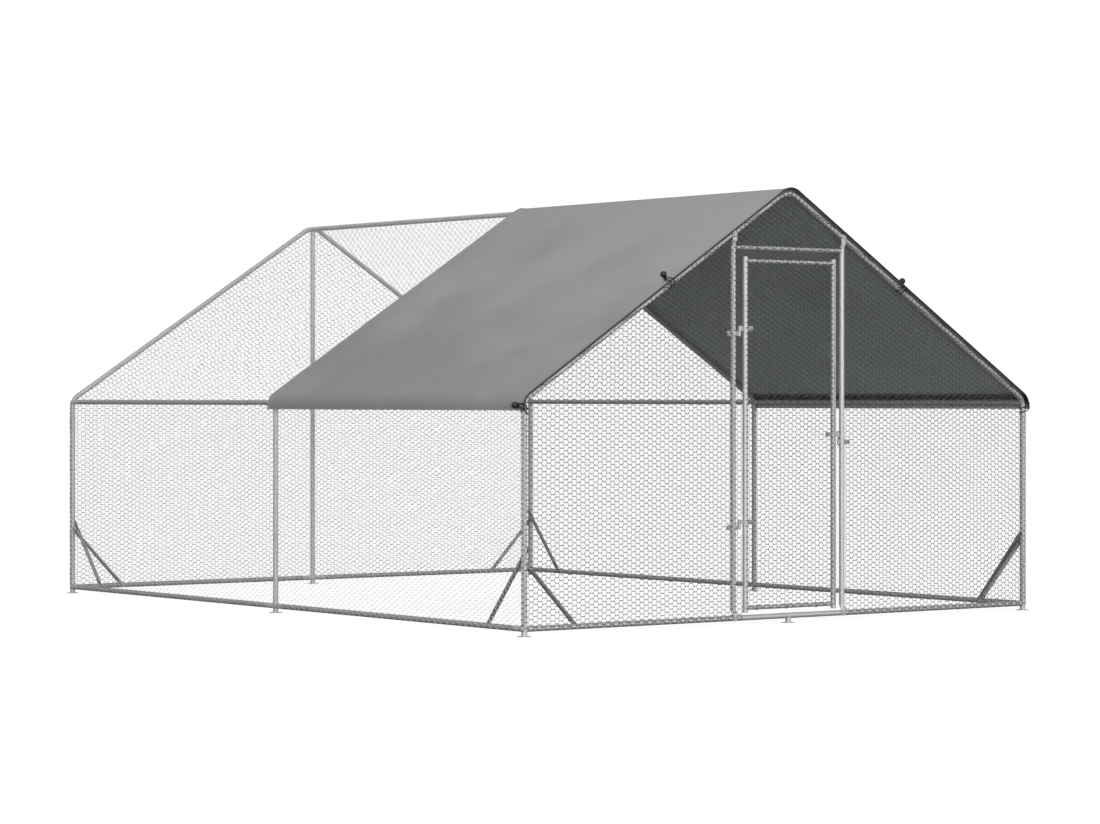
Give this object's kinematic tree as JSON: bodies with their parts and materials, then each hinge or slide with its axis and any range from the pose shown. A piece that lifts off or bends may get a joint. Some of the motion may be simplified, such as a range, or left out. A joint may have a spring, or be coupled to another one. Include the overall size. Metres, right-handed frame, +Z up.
{
  "type": "walk-in chicken run",
  "caption": "Walk-in chicken run: galvanised push-fit tube frame with pitched roof and hexagonal wire netting, a hinged door with a drop-pin latch, and a cover over the front bay.",
  "frame": {"origin": "middle of the bounding box in plan, on the ground under the foot plates", "axes": "+X to the right along the door gable seen from outside, +Y from the door gable to the rear, +Z up"},
  "size_m": [3.112, 4.062, 1.9769],
  "materials": {
    "galvanised_tube": "galvanised, satin",
    "netting": "galvanised wire",
    "strap_steel": "zinc plated",
    "dark_hardware": "dark, satin",
    "cover_sheet": "woven polyethylene, satin",
    "ball_plastic": "black, satin",
    "elastic_cord": "black braid"
  },
  "bodies": {
    "frame": {"front_left_foot": "galvanised_tube", "front_right_foot": "galvanised_tube", "rear_left_foot": "galvanised_tube", "rear_right_foot": "galvanised_tube", "middle_left_foot": "galvanised_tube", "middle_right_foot": "galvanised_tube", "front_centre_foot": "galvanised_tube", "rear_centre_foot": "galvanised_tube", "front_left_post": "galvanised_tube", "front_right_post": "galvanised_tube", "middle_left_post": "galvanised_tube", "middle_right_post": "galvanised_tube", "rear_left_post": "galvanised_tube", "rear_right_post": "galvanised_tube", "rear_centre_post": "galvanised_tube", "front_ground_tubes": "galvanised_tube", "rear_ground_tubes": "galvanised_tube", "left_ground_tubes": "galvanised_tube", "right_ground_tubes": "galvanised_tube", "front_left_elbow": "galvanised_tube", "front_right_elbow": "galvanised_tube", "middle_left_elbow": "galvanised_tube", "middle_right_elbow": "galvanised_tube", "rear_left_elbow": "galvanised_tube", "rear_right_elbow": "galvanised_tube", "left_eave_tubes": "galvanised_tube", "right_eave_tubes": "galvanised_tube", "front_left_rafter": "galvanised_tube", "front_right_rafter": "galvanised_tube", "middle_rafters": "galvanised_tube", "rear_rafters": "galvanised_tube", "front_apex": "galvanised_tube", "middle_apex": "galvanised_tube", "rear_apex": "galvanised_tube", "ridge_tubes": "galvanised_tube", "hinge_post": "galvanised_tube", "latch_post": "galvanised_tube", "door_lintel": "galvanised_tube", "corner_braces": "galvanised_tube", "left_wall_net": "netting", "right_wall_net": "netting", "left_roof_net": "netting", "right_roof_net": "netting", "rear_gable_net": "netting", "front_left_net": "netting", "front_right_net": "netting", "door_head_net": "netting", "roof_cover": "cover_sheet", "bungee_balls": "ball_plastic", "bungee_loops": "elastic_cord", "brace_screws": "strap_steel", "frame_bolts": "strap_steel", "post_straps": "strap_steel"},
    "door": {"hinge_stile": "galvanised_tube", "latch_stile": "galvanised_tube", "door_rails": "galvanised_tube", "door_net": "netting", "leaf_straps": "strap_steel", "leaf_bolts": "strap_steel"},
    "latch": {"latch_pin": "dark_hardware"}
  },
  "joints": [
    {"name": "door_swing", "type": "hinge", "parent": "frame", "child": "door", "pos_m": [-0.2913, -2, 0.9], "axis": [0, 0, -1], "range_deg": [0, 110]},
    {"name": "latch_lift", "type": "slide", "parent": "door", "child": "latch", "axis": [0, 0, 1], "range_m": [0, 0.034]}
  ]
}
